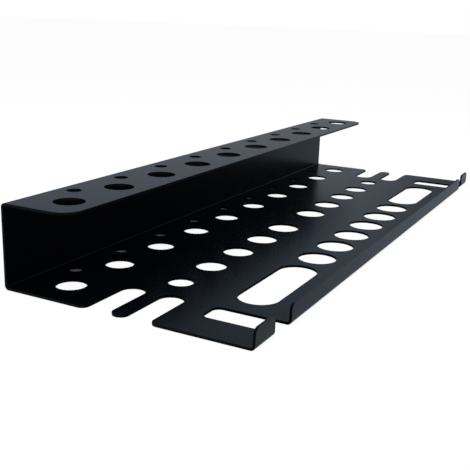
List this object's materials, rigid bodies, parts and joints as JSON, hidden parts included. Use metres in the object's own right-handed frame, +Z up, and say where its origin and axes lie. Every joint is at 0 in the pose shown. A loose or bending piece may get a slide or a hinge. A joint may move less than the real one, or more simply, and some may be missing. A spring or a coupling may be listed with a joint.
{
  "type": "wall tool rack",
  "caption": "Folded sheet-steel wall rack with a holed flange over a wide perforated panel, open end slots and an upturned front lip, for hanging hand tools.",
  "frame": {"origin": "middle of the footprint, on the flat underside of the panel", "axes": "+Z up, +Y towards the wall that the web is screwed to, X along the rack"},
  "size_m": [0.6, 0.205, 0.065],
  "materials": {
    "powder_coat": "black satin powder coat on steel sheet"
  },
  "bodies": {
    "root": {"tool_rack": "powder_coat"}
  },
  "joints": []
}
